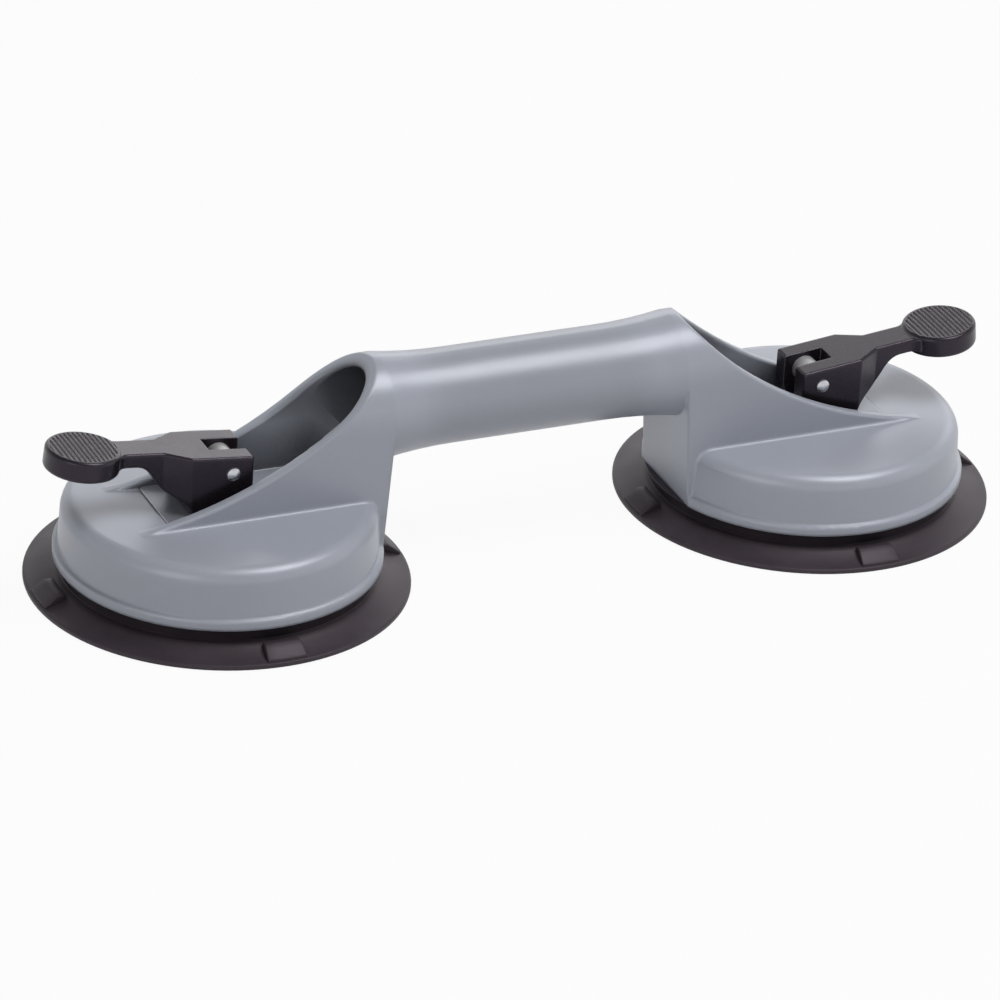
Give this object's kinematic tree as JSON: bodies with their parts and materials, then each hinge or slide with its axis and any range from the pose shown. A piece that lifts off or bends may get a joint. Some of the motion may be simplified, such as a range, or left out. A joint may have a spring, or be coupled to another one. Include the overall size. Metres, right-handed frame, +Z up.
{
  "type": "floor tile suction lifter",
  "caption": "Suction lifter for tiles and floor panels: cast body with a round handle between rubber cups drawn up by cam levers.",
  "frame": {"origin": "on the tile under the middle of the handle, at the lower face of the pads", "axes": "+X along the handle from pad a to pad b, +Z up, +Y to the left of +X seen from above"},
  "size_m": [0.32, 0.12, 0.0685],
  "materials": {
    "cast_aluminium": "satin grey casting",
    "black_rubber": "matt moulded rubber",
    "zinc_steel": "zinc plated",
    "bright_alloy": "turned and polished",
    "white_nylon": "natural nylon",
    "spring_steel": "drawn wire",
    "plate_steel": "satin sheet",
    "black_nylon": "satin moulded nylon",
    "pin_steel": "polished"
  },
  "bodies": {
    "body": {"body_casting": "cast_aluminium", "rubber_pad_a": "black_rubber", "guide_bush_a": "white_nylon", "spring_seat_a": "zinc_steel", "return_spring_a": "spring_steel", "wear_plate_a": "plate_steel", "rubber_pad_b": "black_rubber", "guide_bush_b": "white_nylon", "spring_seat_b": "zinc_steel", "return_spring_b": "spring_steel", "wear_plate_b": "plate_steel"},
    "stem_a": {"pull_stem_a": "bright_alloy", "lock_nut_a": "zinc_steel", "backing_plate_a": "zinc_steel"},
    "lever_a": {"lever_a": "black_nylon", "pivot_pin_a": "pin_steel"},
    "stem_b": {"pull_stem_b": "bright_alloy", "lock_nut_b": "zinc_steel", "backing_plate_b": "zinc_steel"},
    "lever_b": {"lever_b": "black_nylon", "pivot_pin_b": "pin_steel"}
  },
  "joints": [
    {"name": "stem_a_slide", "type": "slide", "parent": "body", "child": "stem_a", "axis": [0, 0, 1], "range_m": [-0.0057, 0], "deforming": ["return_spring_a", "rubber_pad_a"]},
    {"name": "lever_a_swing", "type": "hinge", "parent": "stem_a", "child": "lever_a", "pos_m": [-0.1, 0, 0.0406], "axis": [0, 1, 0], "range_deg": [0, 90]},
    {"name": "stem_b_slide", "type": "slide", "parent": "body", "child": "stem_b", "axis": [0, 0, 1], "range_m": [-0.0057, 0], "deforming": ["return_spring_b", "rubber_pad_b"]},
    {"name": "lever_b_swing", "type": "hinge", "parent": "stem_b", "child": "lever_b", "pos_m": [0.1, 0, 0.0406], "axis": [0, -1, 0], "range_deg": [0, 90]}
  ],
  "couplings": [
    {"joint": "stem_a_slide", "follows": "lever_a_swing", "m_per_rad": -0.0036287},
    {"joint": "stem_b_slide", "follows": "lever_b_swing", "m_per_rad": -0.0036287}
  ]
}
